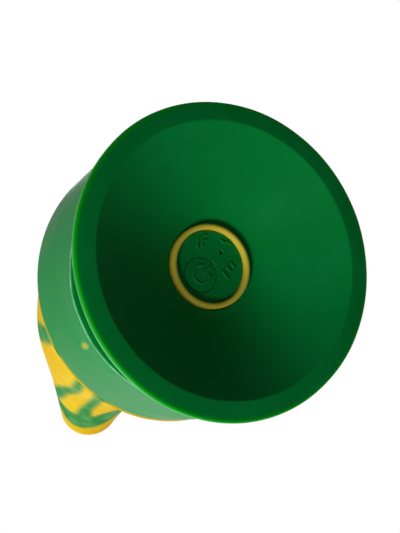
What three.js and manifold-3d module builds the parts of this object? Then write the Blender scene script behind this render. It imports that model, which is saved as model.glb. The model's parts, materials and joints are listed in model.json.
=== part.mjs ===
// A rechargeable silicone massager that stands on its own suction cup.
// Millimetres, +Z up. The origin is the centre of the cup's rim, which rests on the plane z = 0.
// The body leans over towards +X, and y = 0 is its plane of symmetry.
import * as THREE from "three";
import { mergeVertices } from "three/addons/utils/BufferGeometryUtils.js";
import Module from "manifold-3d";

const wasm = await Module();
wasm.setup();

// ---------- driving sizes ----------
const GAP = 0.3; // clearance between two pieces that sit against each other

// suction cup
const CUP_R = 45;
const RIM_BAND = 5.8; // width of the flat sealing band
const RIM_LIP = 2.2; // thickness at the very edge
const CUP_DEPTH = 15.7; // from the rim plane to the hub
const CUP_WALL = 3.2;
const CUP_CURVE = 1.2; // 1 is a straight cone, more is a dome
const COLLAR_WALL = 3.5; // ring behind the cup that buttons into the drum's floor
const BEAD = 1.4; // how far the collar's bead stands out
const BEAD_HEIGHT = 2.5;

// base drum
const DRUM_R = 43.6; // at its front; the cup's rim stands out past it
const DRUM_TOP = 45;
const DRUM_FLARE = 0.9; // how much wider its top is
const DRUM_FLOOR = 3.4;
const CREVICE_DEPTH = 7; // from the drum's side in to where it meets the back of the cup
const CREVICE = 1.4; // how far it stands off the cup at its front edge
const DRUM_EDGE_R = 1.2; // rounding of that edge

// body: bent along a line that starts on the drum
const BODY_LENGTH = 178; // along the bent line, from the rim plane to the tip
const BEND = THREE.MathUtils.degToRad(48.7);
const BEND_EASE = 1.16; // 1 is an even bend, more bends later
const TIP_R = 12.7;
const TIP_LEAN = THREE.MathUtils.degToRad(18); // taper where the tip's ball starts
const SHOULDER = [38.3, 24.7]; // radius, and distance above the drum
const BELLY = [32.2, 58.7];
const NECK = [19.3, 33]; // radius, and distance below the tip

// controls in the middle of the cup
const BEZEL_R = 12.7;
const BEZEL_BAND = 2;
const BEZEL_PROUD = 1.9; // how far its round nose stands out of the cup's hub
const BEZEL_FLANGE = 3.3;
const BEZEL_FLANGE_T = 1.2;
const DISC_T = 2.2;
const DISC_SUNK = 1.6; // from the bezel's nose to the disc's face
const BUTTON_R = 4.9;
const BUTTON_AT = [2.3, 3.2];
const BUTTON_PROUD = 0.3;
const BUTTON_TRAVEL = 0.5;
const PLUNGER_R = 1.5;
const STEM_R = 1.6;
const STEM_LENGTH = 2;
const SWITCH_SIDE = 6;
const SWITCH_T = 3.1;
const PORT_AT = [-4.1, -4.1];
const PORT_R = 2.6;
const PORT_BORE_R = 1.2;
const PORT_HOLE_R = 0.9; // the small hole in the disc
const PORT_DEPTH = 8;

// rigid core
const CORE_R = 35;
const CORE_WALL = 3.4;
const SKIRT_WALL = 2; // the lower shell's skirt stands on the drum's floor
const CORE_FLOOR = 2;
const CORE_SPLIT = 33;
const CORE_ROOF = 2.5;
const HEADROOM = 1.5; // above the battery cell
const SEAL_W = 1;
const BOSS_R = 3.2;
const SCREW_R = 1.1;
const SCREW_HEAD_R = 2.2;
const SCREW_HEAD_T = 1.2;
const SCREW_BITE = 8; // how far a core screw reaches below the split

// electronics
const BOARD_PLAY = 0.7; // from the board's edge to the screw bosses
const BOARD_T = 1.6;
const POST_HEIGHT = 5;
const POST_R = 1.9;
const POST_RING = 21;
const BOARD_SCREW_R = 0.8;
const CELL_R = 7;
const CELL_LENGTH = 43;
const CELL_AT = -11;
const HOLDER_WALL = 1.5;
const HOLDER_LENGTH = 30;
const WIRE_R = 0.6;
const WIRE_SPREAD = 1.15; // half the distance between the two wires of a pair

// flexible spine and motor
const SPINE_R = 4.5;
const SPINE_BORE_R = 2.8;
const ANCHOR_R = 9;
const ANCHOR_T = 4;
const MOTOR_FROM_TIP = 46; // along the bent line, to the middle of the capsule
const CAPSULE_WALL = 1.5;
const CAPSULE_BASE = 2;
const TAIL_ROOM = 4; // for the leads, behind the motor
const NOSE_ROOM = 2.8; // in front of the weight
const MOUNT_T = 1.5; // rubber rings between the motor and its capsule
const CAPSULE_TAIL_R = 3.2;
const MOTOR_R = 6;
const MOTOR_LENGTH = 20;
const MOTOR_SKIN = 0.7;
const SHAFT_R = 1;
const SHAFT_PLAY = 0.2;
const ROTOR_R = 3.9;
const WEIGHT_R = 6.6;
const WEIGHT_T = 7;
const WEIGHT_AT = 1.5; // from the motor's front
const WEIGHT_HUB = 1.3;

const ROUND = 36; // facets round a large piece
const FINE = 16; // facets round a small one

// ---------- heights and radii that follow ----------
const bandInner = CUP_R - RIM_BAND;
const hubHole = BEZEL_R + GAP;
const hubTop = CUP_DEPTH + CUP_WALL;
const bezelNose = CUP_DEPTH - BEZEL_PROUD;
const bezelInner = BEZEL_R - BEZEL_BAND;
const ledgeInner = Math.hypot(...BUTTON_AT) + BUTTON_R + 0.5;
const discFace = bezelNose + DISC_SUNK;
const discBack = discFace + DISC_T;
const flangeZ = hubTop + GAP;
const coreBottom = flangeZ + BEZEL_FLANGE_T + GAP;
const coreInside = coreBottom + CORE_FLOOR;
const coreInnerR = CORE_R - CORE_WALL;
const boardBottom = coreInside + POST_HEIGHT + GAP;
const boardTop = boardBottom + BOARD_T;
const switchTop = boardBottom - GAP;
const switchBottom = switchTop - SWITCH_T;
const stemBottom = switchBottom - 0.7;
const plungerTop = stemBottom - GAP;
const drumHoleR = CORE_R - SKIRT_WALL - BEAD - GAP;
const drumFloorBottom = cupBack(drumHoleR) + GAP;
const drumFloorTop = drumFloorBottom + DRUM_FLOOR;
const drumTopR = DRUM_R + DRUM_FLARE;
const coreBore = CORE_R + GAP;
const bodyBottom = DRUM_TOP + GAP;
const bossRing = coreInnerR - BOSS_R + 0.5;
const boardR = bossRing - BOSS_R - BOARD_PLAY;
const screwHoleR = SCREW_R + GAP;
const screwTip = CORE_SPLIT - SCREW_BITE;
const cellZ = boardTop + 2 * GAP + HOLDER_WALL + GAP + CELL_R;
const coreTop = cellZ + CELL_R + HEADROOM + CORE_ROOF;
const headSeat = coreTop - SCREW_HEAD_T - GAP - 0.1;
const motorAt = BODY_LENGTH - MOTOR_FROM_TIP;
const capsuleInner = MOTOR_R + GAP + MOUNT_T + GAP;
const capsuleR = capsuleInner + CAPSULE_WALL;
const capsuleHalf =
  CAPSULE_BASE + (TAIL_ROOM + MOTOR_LENGTH + WEIGHT_AT + WEIGHT_T + NOSE_ROOM) / 2;
const motorTail = -capsuleHalf + CAPSULE_BASE + TAIL_ROOM;
const motorFront = motorTail + MOTOR_LENGTH;

// ---------- materials ----------
const paint = (color, roughness, metalness = 0) =>
  new THREE.MeshStandardMaterial({ color, roughness, metalness });
const GREEN_SILICONE = () => paint(0x06552a, 0.45);
const YELLOW_SILICONE = () => paint(0xe2bb20, 0.5);
const BLACK_PLASTIC = () => paint(0x1b1c1e, 0.6);
const WHITE_PLASTIC = () => paint(0xd8d8d2, 0.5);
const STEEL = () => paint(0xb4b7ba, 0.3, 1);

// ---------- small helpers ----------
function solid(geometry) {
  const bare = geometry.clone();
  bare.deleteAttribute("normal");
  bare.deleteAttribute("uv");
  const joined = mergeVertices(bare, 1e-4);
  const vertProperties = new Float32Array(joined.attributes.position.array);
  const triVerts = new Uint32Array(joined.index.array);
  return new wasm.Manifold(new wasm.Mesh({ numProp: 3, vertProperties, triVerts }));
}

function geometryOf(manifold) {
  const mesh = manifold.getMesh();
  const geometry = new THREE.BufferGeometry();
  geometry.setAttribute("position", new THREE.BufferAttribute(mesh.vertProperties, 3));
  geometry.setIndex(new THREE.BufferAttribute(mesh.triVerts, 1));
  return geometry;
}

const cut = (geometry, ...tools) =>
  geometryOf(tools.reduce((left, tool) => left.subtract(solid(tool)), solid(geometry)));
const join = (geometry, ...more) =>
  geometryOf(more.reduce((left, piece) => left.add(solid(piece)), solid(geometry)));

// A turned piece about Z from [radius, height] points, in either order round.
function turned(outline, segments = ROUND) {
  const points = outline.map(([r, z]) => new THREE.Vector2(Math.max(r, 0), z));
  if (THREE.ShapeUtils.area(points) < 0) points.reverse();
  const onAxis = points.filter((p) => p.x === 0).length;
  if (!onAxis) points.push(points[0].clone());
  while (onAxis && (points[0].x !== 0 || points.at(-1).x !== 0)) points.push(points.shift());
  return new THREE.LatheGeometry(points, segments).rotateX(Math.PI / 2);
}

const ring = (inner, outer, low, high, segments = FINE) =>
  turned([[inner, low], [outer, low], [outer, high], [inner, high]], segments);
const rod = (r, low, high, segments = FINE) =>
  turned([[0, low], [r, low], [r, high], [0, high]], segments);
const block = (x, y, low, high) =>
  new THREE.BoxGeometry(x, y, high - low).translate(0, 0, (low + high) / 2);

function arcPoints(centreR, centreZ, radius, from, to, steps) {
  return Array.from({ length: steps + 1 }, (_, i) => {
    const a = THREE.MathUtils.degToRad(from + ((to - from) * i) / steps);
    return [centreR + radius * Math.cos(a), centreZ + radius * Math.sin(a)];
  });
}

function wire(points, steps) {
  const path = new THREE.CatmullRomCurve3(points.map((p) => new THREE.Vector3(...p)));
  const section = new THREE.Shape().absarc(0, 0, WIRE_R, 0, 2 * Math.PI);
  return new THREE.ExtrudeGeometry(section, { extrudePath: path, steps, curveSegments: 4 });
}

// ---------- the bent line of the body ----------
function leanAt(s) {
  const along = Math.max(s - bodyBottom, 0) / (BODY_LENGTH - bodyBottom);
  return BEND * along ** BEND_EASE;
}

function axisAt(s) {
  const steps = 60;
  const step = Math.max(s - bodyBottom, 0) / steps;
  let x = 0;
  let z = Math.min(s, bodyBottom);
  for (let i = 0; i < steps; i++) {
    const lean = leanAt(bodyBottom + step * (i + 0.5));
    x += Math.sin(lean) * step;
    z += Math.cos(lean) * step;
  }
  return { x, z, lean: leanAt(s) };
}

// Bends a piece that was turned about Z so that Z follows the body's line.
function bent(geometry) {
  const at = geometry.attributes.position;
  for (let i = 0; i < at.count; i++) {
    const line = axisAt(at.getZ(i));
    const side = at.getX(i);
    const x = line.x + side * Math.cos(line.lean);
    at.setXYZ(i, x, at.getY(i), line.z - side * Math.sin(line.lean));
  }
  return geometry;
}

const linePoint = (s, y = 0) => [axisAt(s).x, y, axisAt(s).z];

// Moves a piece from the motor's own frame, whose Z is the shaft, into the part's frame.
const motorPlace = new THREE.Matrix4()
  .makeRotationY(axisAt(motorAt).lean)
  .setPosition(axisAt(motorAt).x, 0, axisAt(motorAt).z);
const motorPoint = (x, y, z) => new THREE.Vector3(x, y, z).applyMatrix4(motorPlace).toArray();

// ---------- suction cup and drum ----------
function cupFace(r) {
  const out = THREE.MathUtils.clamp((r - hubHole) / (bandInner - hubHole), 0, 1);
  return CUP_DEPTH * (1 - out ** CUP_CURVE);
}

function cupBack(r) {
  const band = Math.max(r - bandInner, 0) / RIM_BAND;
  return cupFace(r) + CUP_WALL - (CUP_WALL - RIM_LIP) * band;
}

const sweep = (from, to, steps, height) =>
  Array.from({ length: steps + 1 }, (_, i) => {
    const r = from + ((to - from) * i) / steps;
    return [r, height(r)];
  });

function suctionCup() {
  const collarR = drumHoleR - GAP;
  const collarInner = collarR - COLLAR_WALL;
  const beadZ = drumFloorTop + GAP;
  const rimRound = 0.6;
  return turned([
    ...sweep(hubHole, bandInner, 8, cupFace),
    [CUP_R - rimRound, 0],
    [CUP_R, rimRound],
    ...sweep(CUP_R, collarR, 4, cupBack),
    [collarR, beadZ],
    [collarR + BEAD, beadZ],
    [collarR + BEAD, beadZ + BEAD_HEIGHT],
    [collarInner, beadZ + BEAD_HEIGHT],
    ...sweep(collarInner, hubHole, 5, cupBack),
  ]);
}

function baseDrum() {
  const edgeR = DRUM_R - DRUM_EDGE_R;
  return turned([
    [coreBore, DRUM_TOP],
    [coreBore, drumFloorTop],
    [drumHoleR, drumFloorTop],
    ...sweep(drumHoleR, DRUM_R - CREVICE_DEPTH, 3, (r) => cupBack(r) + GAP),
    ...arcPoints(edgeR, cupBack(edgeR) + CREVICE + DRUM_EDGE_R, DRUM_EDGE_R, -90, 0, 4),
    [drumTopR, DRUM_TOP],
  ]);
}

// ---------- body ----------
function bodySleeve() {
  const ballAt = BODY_LENGTH - TIP_R;
  const tip = arcPoints(0, ballAt, TIP_R, THREE.MathUtils.radToDeg(TIP_LEAN), 90, 5);
  const waist = new THREE.SplineCurve(
    [
      [drumTopR, bodyBottom],
      [SHOULDER[0], bodyBottom + SHOULDER[1]],
      [BELLY[0], bodyBottom + BELLY[1]],
      [NECK[0], BODY_LENGTH - NECK[1]],
      tip[0],
    ].map((p) => new THREE.Vector2(...p)),
  );
  const side = waist.getPoints(14).map((p) => [p.x, p.y]);
  const outside = turned([[0, bodyBottom], ...side, ...tip.slice(1, -1), [0, BODY_LENGTH]]);
  const roof = coreTop + GAP;
  const channel = sweep(roof - 1, motorAt - capsuleHalf + 2, 14, () => SPINE_R + GAP);
  const channelEnds = channel.map(([s, r]) => [r, s]);
  return cut(
    bent(outside),
    rod(coreBore, Math.min(bodyBottom, roof) - 2, roof, ROUND),
    rod(ANCHOR_R + GAP, roof - 1, roof + ANCHOR_T + GAP),
    bent(turned([[0, channel[0][0]], ...channelEnds, [0, channel.at(-1)[0]]], FINE)),
    rod(capsuleR + GAP, -capsuleHalf - GAP, capsuleHalf + GAP).applyMatrix4(motorPlace),
  );
}

// ---------- controls ----------
function ringBezel() {
  const noseR = BEZEL_BAND / 2;
  const ledgeZ = discBack + GAP;
  const back = flangeZ + BEZEL_FLANGE_T;
  return turned([
    [ledgeInner, ledgeZ],
    [bezelInner, ledgeZ],
    ...arcPoints(BEZEL_R - noseR, bezelNose + noseR, noseR, -180, 0, 6),
    [BEZEL_R, flangeZ],
    [BEZEL_R + BEZEL_FLANGE, flangeZ],
    [BEZEL_R + BEZEL_FLANGE, back],
    [ledgeInner, back],
  ]);
}

function controlDisc() {
  return cut(
    rod(bezelInner - GAP, discFace, discBack, ROUND),
    rod(BUTTON_R + GAP, discFace - 1, discBack + 1, 24).translate(...BUTTON_AT, 0),
    rod(PORT_HOLE_R, discFace - 1, discBack + 1, 16).translate(...PORT_AT, 0),
  );
}

const powerButton = () =>
  rod(BUTTON_R, discFace - BUTTON_PROUD, discBack, 24).translate(...BUTTON_AT, 0);
const buttonPlunger = () =>
  rod(PLUNGER_R, discBack + GAP, plungerTop, 16).translate(...BUTTON_AT, 0);
const switchStem = () =>
  rod(STEM_R, stemBottom, stemBottom + STEM_LENGTH, 16).translate(...BUTTON_AT, 0);

function switchBody() {
  const wellTop = stemBottom + STEM_LENGTH + BUTTON_TRAVEL + GAP;
  return cut(
    block(SWITCH_SIDE, SWITCH_SIDE, switchBottom, switchTop),
    rod(STEM_R + GAP, switchBottom - 1, wellTop, 16),
  ).translate(...BUTTON_AT, 0);
}

function chargingSocket() {
  return turned([
    [PORT_BORE_R, discBack + GAP],
    [PORT_R, discBack + GAP],
    [PORT_R, switchTop],
    [0, switchTop],
    [0, discBack + GAP + PORT_DEPTH],
    [PORT_BORE_R, discBack + GAP + PORT_DEPTH],
  ], FINE).translate(...PORT_AT, 0);
}

// ---------- rigid core ----------
const quarter = (i, r) => [r * Math.cos((i * Math.PI) / 2), r * Math.sin((i * Math.PI) / 2), 0];
const third = (i, r) => {
  const a = ((2 * i + 1) * Math.PI) / 3;
  return [r * Math.cos(a), r * Math.sin(a), 0];
};
const four = (make) => [0, 1, 2, 3].map((i) => make().translate(...quarter(i, bossRing)));
const three = (make) => [0, 1, 2].map((i) => make().translate(...third(i, POST_RING)));

function coreLowerShell() {
  const skirtR = CORE_R - SKIRT_WALL;
  const grooveIn = coreInnerR + (CORE_WALL - SEAL_W) / 2 - GAP;
  const grooveOut = grooveIn + SEAL_W + 2 * GAP;
  const grooveZ = CORE_SPLIT - SEAL_W - 2 * GAP;
  const shell = turned([
    [0, coreBottom],
    [skirtR, coreBottom],
    [skirtR, drumFloorTop + GAP],
    [CORE_R, drumFloorTop + GAP],
    [CORE_R, CORE_SPLIT],
    [grooveOut, CORE_SPLIT],
    [grooveOut, grooveZ],
    [grooveIn, grooveZ],
    [grooveIn, CORE_SPLIT],
    [coreInnerR, CORE_SPLIT],
    [coreInnerR, coreInside],
    [0, coreInside],
  ]);
  const bosses = four(() => rod(BOSS_R, coreInside - 0.5, CORE_SPLIT));
  const posts = three(() => rod(POST_R, coreInside - 0.5, boardBottom - GAP, 12));
  return cut(
    join(shell, ...bosses, ...posts),
    ...four(() => rod(screwHoleR, screwTip - GAP, CORE_SPLIT + 1, 12)),
    ...three(() => rod(BOARD_SCREW_R + GAP, coreInside, boardBottom, 12)),
    rod(PLUNGER_R + 0.4, coreBottom - 1, coreInside + 1, 16).translate(...BUTTON_AT, 0),
    rod(PORT_R + GAP, coreBottom - 1, coreInside + 1).translate(...PORT_AT, 0),
  );
}

function coreUpperShell() {
  const roof = coreTop - CORE_ROOF;
  const split = CORE_SPLIT + GAP;
  const shell = turned([
    [0, roof],
    [coreInnerR, roof],
    [coreInnerR, split],
    [CORE_R, split],
    [CORE_R, coreTop],
    [0, coreTop],
  ]);
  return cut(
    join(shell, ...four(() => rod(BOSS_R, split, roof + 0.5))),
    ...four(() => rod(screwHoleR, split - 1, coreTop + 1, 12)),
    ...four(() => rod(SCREW_HEAD_R + GAP, headSeat, coreTop + 1, 16)),
    rod(SPINE_BORE_R, roof - 1, coreTop + 1),
  );
}

function coreSealRing() {
  const inner = coreInnerR + (CORE_WALL - SEAL_W) / 2;
  return ring(inner, inner + SEAL_W, CORE_SPLIT - SEAL_W - GAP, CORE_SPLIT, ROUND);
}

// A screw that points down, with its head's underside at z and a cross recess.
function screw(shankR, headR, headT, z, tip) {
  const slot = [0.5, headR * 1.2];
  const low = z + headT * 0.45;
  return cut(
    turned([[0, tip], [shankR, tip], [shankR, z], [headR, z], [headR, z + headT], [0, z + headT]], 12),
    block(slot[0], slot[1], low, z + headT + 1),
    block(slot[1], slot[0], low, z + headT + 1),
  );
}

const coreScrew = (i) =>
  screw(SCREW_R, SCREW_HEAD_R, SCREW_HEAD_T, headSeat + GAP, screwTip)
    .translate(...quarter(i, bossRing));
const boardScrew = (i) =>
  screw(BOARD_SCREW_R, 1.7, 1, boardTop + GAP, coreInside + GAP)
    .translate(...third(i, POST_RING));

// ---------- electronics ----------
function circuitBoard() {
  return cut(
    rod(boardR, boardBottom, boardTop, 32),
    ...three(() => rod(BOARD_SCREW_R + GAP, boardBottom - 1, boardTop + 1, 12)),
  );
}

const onBoard = (w, d, h, x, y) =>
  block(w, d, boardTop + GAP, boardTop + GAP + h).translate(x, y, 0);
const underBoard = (side, h, x, y) =>
  block(side, side, boardBottom - GAP - h, boardBottom - GAP).translate(x, y, 0);

function batteryHolder() {
  const inner = CELL_R + GAP;
  const outer = inner + HOLDER_WALL;
  const section = new THREE.Shape()
    .absarc(0, 0, outer, Math.PI, 2 * Math.PI)
    .lineTo(inner, 0)
    .absarc(0, 0, inner, 2 * Math.PI, Math.PI, true);
  return new THREE.ExtrudeGeometry(section, {
    depth: HOLDER_LENGTH,
    bevelEnabled: false,
    curveSegments: 10,
  })
    .rotateX(Math.PI / 2)
    .translate(CELL_AT, HOLDER_LENGTH / 2, cellZ);
}

const alongY = (geometry) => geometry.rotateX(-Math.PI / 2).translate(CELL_AT, 0, cellZ);
const batteryCell = () => alongY(rod(CELL_R, -CELL_LENGTH / 2, CELL_LENGTH / 2, 20));
const batteryTerminal = () =>
  alongY(rod(2.6, CELL_LENGTH / 2 + GAP, CELL_LENGTH / 2 + GAP + 1, 16));

function batteryLead(side) {
  const end = side * (CELL_LENGTH / 2 + (side > 0 ? GAP + 1 : 0) + GAP + WIRE_R / 2);
  const plugTop = boardTop + GAP + 3 + GAP;
  return wire([
    [CELL_AT, end, cellZ],
    [CELL_AT + 1.5, end + side * 2, cellZ + 1],
    [0, side * (CELL_LENGTH / 2 + 2), cellZ + 3],
    [9, side * 15, cellZ + 2.5],
    [13, side * 5, cellZ],
    [13, side * WIRE_SPREAD, plugTop + 2.5],
    [13, side * WIRE_SPREAD, plugTop],
  ], 14);
}

function motorLead(side) {
  const y = side * WIRE_SPREAD;
  const plugTop = boardTop + GAP + 3 + GAP;
  const spineEnd = motorAt - capsuleHalf;
  return wire([
    [4, y, plugTop],
    [4, y, plugTop + 4],
    [0.3, y, coreTop - CORE_ROOF - 1],
    [0, y, coreTop + 1],
    ...[0.2, 0.4, 0.6, 0.8, 0.95].map((t) => linePoint(coreTop + (spineEnd - coreTop) * t, y)),
    motorPoint(0, y, -capsuleHalf + 1),
    motorPoint(0, y, motorTail - 1.1),
  ], 28);
}

// ---------- spine and motor ----------
function spineTube() {
  const from = coreTop + GAP;
  const to = motorAt - capsuleHalf - 1.6;
  const stops = [0, 0.2, 0.4, 0.6, 0.8, 1].map((t) => linePoint(from + (to - from) * t));
  const path = new THREE.CatmullRomCurve3(stops.map((p) => new THREE.Vector3(...p)));
  const section = new THREE.Shape().absarc(0, 0, SPINE_R, 0, 2 * Math.PI);
  section.holes.push(new THREE.Path().absarc(0, 0, SPINE_BORE_R, 0, 2 * Math.PI, true));
  return new THREE.ExtrudeGeometry(section, { extrudePath: path, steps: 12, curveSegments: 8 });
}

const spineAnchor = () =>
  ring(SPINE_R + 2 * GAP, ANCHOR_R, coreTop + GAP, coreTop + GAP + ANCHOR_T);

function motorCapsule() {
  const mouth = capsuleHalf - CAPSULE_BASE - GAP;
  return turned([
    [CAPSULE_TAIL_R, -capsuleHalf],
    [capsuleR, -capsuleHalf],
    [capsuleR, mouth],
    [capsuleInner, mouth],
    [capsuleInner, -capsuleHalf + CAPSULE_BASE],
    [CAPSULE_TAIL_R, -capsuleHalf + CAPSULE_BASE],
  ], 20);
}

function capsuleCap() {
  const spigot = capsuleInner - GAP;
  const seat = capsuleHalf - CAPSULE_BASE;
  return turned([
    [0, capsuleHalf],
    [capsuleR, capsuleHalf],
    [capsuleR, seat],
    [spigot, seat],
    [spigot, seat - 1.6],
    [spigot - 1.2, seat - 1.6],
    [spigot - 1.2, seat],
    [0, seat],
  ], 20);
}

function motorCan() {
  const inner = MOTOR_R - MOTOR_SKIN;
  const nose = SHAFT_R + 1.2;
  return turned([
    [nose, motorFront - 1],
    [inner, motorFront - 1],
    [inner, motorTail],
    [MOTOR_R, motorTail],
    [MOTOR_R, motorFront],
    [nose, motorFront],
  ], 20);
}

function motorEndCap() {
  const plug = MOTOR_R - MOTOR_SKIN - GAP;
  const well = SHAFT_R + SHAFT_PLAY;
  return turned([
    [0, motorTail - 0.8],
    [MOTOR_R, motorTail - 0.8],
    [MOTOR_R, motorTail - GAP],
    [plug, motorTail - GAP],
    [plug, motorTail + 1.7],
    [well, motorTail + 1.7],
    [well, motorTail],
    [0, motorTail],
  ], 20);
}

const motorBush = () =>
  ring(SHAFT_R + SHAFT_PLAY, SHAFT_R + 1.2 - GAP, motorFront - 1.8, motorFront + 0.8, 16);
const motorShaft = () => rod(SHAFT_R, motorTail + GAP, motorFront + WEIGHT_AT + WEIGHT_T + 0.5, 16);
const commutator = () => ring(SHAFT_R + GAP, 2.4, motorTail + 2, motorTail + 4.7, 16);
const mountRing = (z) => ring(MOTOR_R + GAP, capsuleInner - GAP, z, z + 4, 20);

function motorRotor() {
  const low = motorTail + 5;
  const high = motorFront - 3;
  const slots = [0, 1, 2].map((i) =>
    block(1.6, ROTOR_R, low - 1, high + 1)
      .translate(0, ROTOR_R, 0)
      .rotateZ((i * 2 * Math.PI) / 3),
  );
  return cut(ring(SHAFT_R + GAP, ROTOR_R, low, high, 20), ...slots);
}

function motorMagnet(side) {
  const outer = MOTOR_R - MOTOR_SKIN - GAP;
  const inner = ROTOR_R + GAP;
  const half = THREE.MathUtils.degToRad(65);
  const section = new THREE.Shape()
    .absarc(0, 0, outer, -half, half)
    .absarc(0, 0, inner, half, -half, true);
  return new THREE.ExtrudeGeometry(section, {
    depth: MOTOR_LENGTH - 9,
    bevelEnabled: false,
    curveSegments: 8,
  })
    .translate(0, 0, motorTail + 5)
    .rotateZ(side > 0 ? 0 : Math.PI);
}

// A half disc of dense metal, heavy side towards +X of the motor's frame, where gravity holds it.
function eccentricWeight() {
  const hub = SHAFT_R + WEIGHT_HUB;
  const spread = THREE.MathUtils.degToRad(80);
  const section = new THREE.Shape()
    .absarc(0, 0, WEIGHT_R, -spread, spread)
    .absarc(0, 0, hub, spread, 2 * Math.PI - spread);
  section.holes.push(new THREE.Path().absarc(0, 0, SHAFT_R + GAP, 0, 2 * Math.PI, true));
  return new THREE.ExtrudeGeometry(section, {
    depth: WEIGHT_T,
    bevelEnabled: false,
    curveSegments: 12,
  }).translate(0, 0, motorFront + WEIGHT_AT);
}

// ---------- the assembly ----------
const group = new THREE.Group();

function add(name, geometry, material, parent = group) {
  const mesh = new THREE.Mesh(geometry, material);
  mesh.name = name;
  parent.add(mesh);
}

add("suction_cup", suctionCup(), GREEN_SILICONE());
add("base_drum", baseDrum(), GREEN_SILICONE());
add("body_sleeve", bodySleeve(), YELLOW_SILICONE());

add("ring_bezel", ringBezel(), YELLOW_SILICONE());
add("control_disc", controlDisc(), GREEN_SILICONE());
add("power_button", powerButton(), GREEN_SILICONE());
add("button_plunger", buttonPlunger(), WHITE_PLASTIC());
add("tact_switch_stem", switchStem(), BLACK_PLASTIC());
add("tact_switch_body", switchBody(), BLACK_PLASTIC());
add("charging_socket", chargingSocket(), STEEL());

add("core_lower_shell", coreLowerShell(), WHITE_PLASTIC());
add("core_upper_shell", coreUpperShell(), WHITE_PLASTIC());
add("core_seal_ring", coreSealRing(), BLACK_PLASTIC());
for (let i = 0; i < 4; i++) add(`core_screw_${i + 1}`, coreScrew(i), STEEL());

add("circuit_board", circuitBoard(), paint(0x14603a, 0.5));
for (let i = 0; i < 3; i++) add(`board_screw_${i + 1}`, boardScrew(i), STEEL());
add("control_chip", onBoard(5, 5, 1.2, 12, 10), BLACK_PLASTIC());
add("charge_chip", onBoard(3, 3, 1, 13, -10), BLACK_PLASTIC());
add("status_led_1", underBoard(1.6, 0.7, 7, -3), WHITE_PLASTIC());
add("status_led_2", underBoard(1.6, 0.7, -5, 6), WHITE_PLASTIC());
add("battery_holder", batteryHolder(), BLACK_PLASTIC());
add("battery_cell", batteryCell(), paint(0x2d5fa8, 0.45));
add("battery_terminal", batteryTerminal(), STEEL());
add("battery_plug", onBoard(4, 6, 3, 13, 0), WHITE_PLASTIC());
add("battery_lead_red", batteryLead(1), paint(0xb01818, 0.5));
add("battery_lead_black", batteryLead(-1), BLACK_PLASTIC());
add("motor_plug", onBoard(4, 6, 3, 4, 0), WHITE_PLASTIC());
add("motor_lead_red", motorLead(1), paint(0xb01818, 0.5));
add("motor_lead_black", motorLead(-1), BLACK_PLASTIC());

add("spine_anchor", spineAnchor(), WHITE_PLASTIC());
add("spine_tube", spineTube(), WHITE_PLASTIC());

const motor = new THREE.Group();
motor.applyMatrix4(motorPlace);
group.add(motor);
add("motor_capsule", motorCapsule(), WHITE_PLASTIC(), motor);
add("capsule_cap", capsuleCap(), WHITE_PLASTIC(), motor);
add("motor_can", motorCan(), STEEL(), motor);
add("motor_end_cap", motorEndCap(), BLACK_PLASTIC(), motor);
add("motor_bush", motorBush(), paint(0xb08d3c, 0.35, 1), motor);
add("motor_mount_rear", mountRing(motorTail + 3), BLACK_PLASTIC(), motor);
add("motor_mount_front", mountRing(motorFront - 6), BLACK_PLASTIC(), motor);
add("motor_magnet_1", motorMagnet(1), paint(0x4a4b4e, 0.6), motor);
add("motor_magnet_2", motorMagnet(-1), paint(0x4a4b4e, 0.6), motor);
add("motor_shaft", motorShaft(), STEEL(), motor);
add("motor_rotor", motorRotor(), paint(0x9a5a2c, 0.4, 1), motor);
add("commutator", commutator(), paint(0xb87333, 0.35, 1), motor);
add("eccentric_weight", eccentricWeight(), paint(0x8d9093, 0.35, 1), motor);

export default group;
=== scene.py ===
import json
import math

import bmesh
import bpy
import numpy as np
from mathutils import Matrix, Vector, noise


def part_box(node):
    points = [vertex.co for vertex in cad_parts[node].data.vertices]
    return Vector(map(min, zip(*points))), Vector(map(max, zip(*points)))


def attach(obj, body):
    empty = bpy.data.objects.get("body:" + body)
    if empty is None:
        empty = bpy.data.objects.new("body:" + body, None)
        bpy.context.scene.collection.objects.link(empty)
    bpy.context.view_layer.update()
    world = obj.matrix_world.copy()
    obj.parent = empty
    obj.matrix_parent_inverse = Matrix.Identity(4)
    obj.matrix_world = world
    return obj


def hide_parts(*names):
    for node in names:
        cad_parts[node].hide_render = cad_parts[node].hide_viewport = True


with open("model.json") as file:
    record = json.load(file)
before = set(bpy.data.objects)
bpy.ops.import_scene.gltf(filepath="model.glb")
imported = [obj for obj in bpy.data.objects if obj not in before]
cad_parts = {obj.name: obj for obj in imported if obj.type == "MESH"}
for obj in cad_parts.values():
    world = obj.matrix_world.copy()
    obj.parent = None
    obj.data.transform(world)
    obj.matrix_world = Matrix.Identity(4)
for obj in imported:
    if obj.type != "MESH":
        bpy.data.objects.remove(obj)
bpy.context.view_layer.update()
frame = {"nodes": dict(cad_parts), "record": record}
NODES = frame["nodes"]
MM = 0.001

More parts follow.
